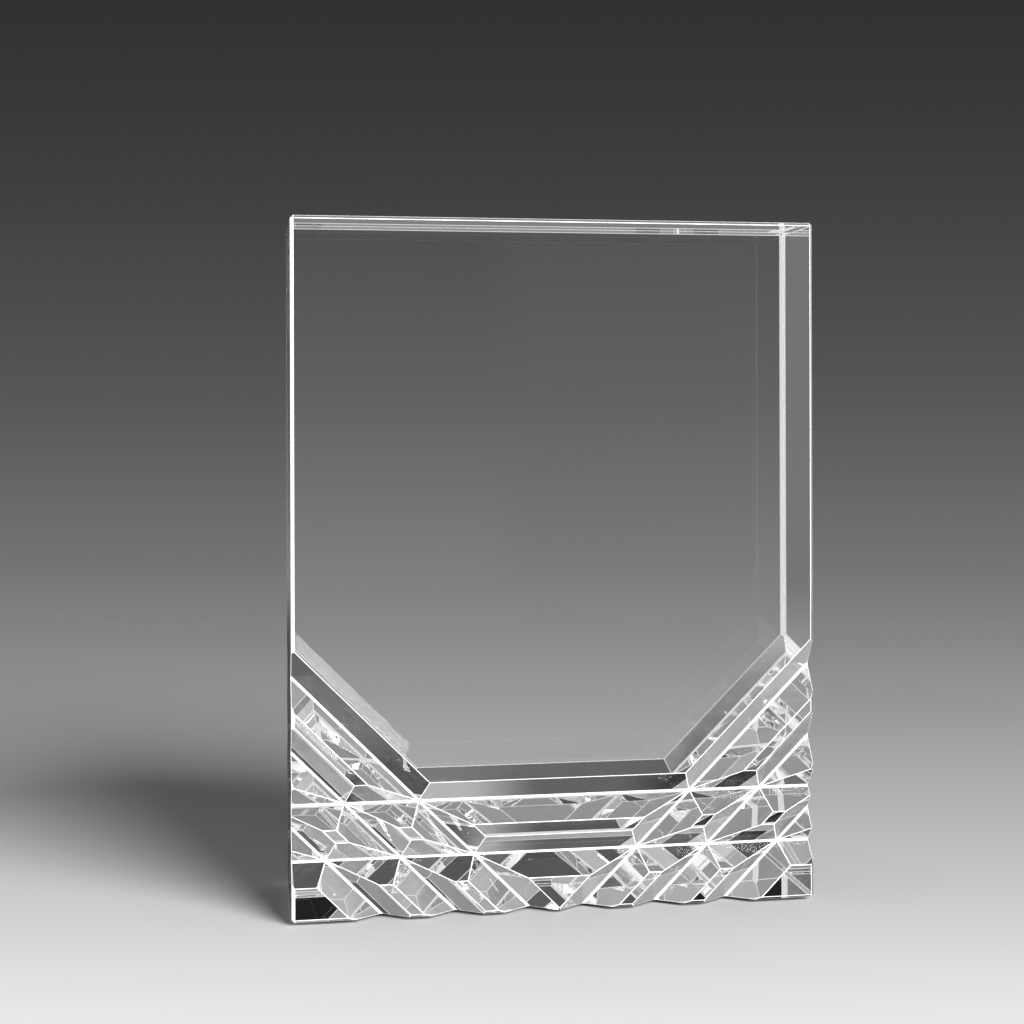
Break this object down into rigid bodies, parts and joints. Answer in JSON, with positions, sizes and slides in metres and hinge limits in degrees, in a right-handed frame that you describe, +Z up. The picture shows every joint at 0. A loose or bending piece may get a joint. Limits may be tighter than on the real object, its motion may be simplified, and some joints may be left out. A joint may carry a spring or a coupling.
{
  "type": "crystal award",
  "caption": "Thick upright rectangular block of clear crystal with a plain window above a lattice of V-shaped wheel cuts on both faces, standing on clear bumper feet.",
  "frame": {"origin": "centre of the award's footprint, on the surface that it stands on", "axes": "+Z up the award, -Y out of the front face, +X to the right of someone facing the front face"},
  "size_m": [0.146, 0.042, 0.191],
  "materials": {
    "crystal": "optical polish on every face",
    "bumper": "clear soft polyurethane, smooth",
    "adhesive": "clear pressure-sensitive film"
  },
  "bodies": {
    "root": {"crystal_block": "crystal", "foot_front_left": "bumper", "foot_front_right": "bumper", "foot_back_left": "bumper", "foot_back_right": "bumper", "adhesive_front_left": "adhesive", "adhesive_front_right": "adhesive", "adhesive_back_left": "adhesive", "adhesive_back_right": "adhesive"}
  },
  "joints": []
}
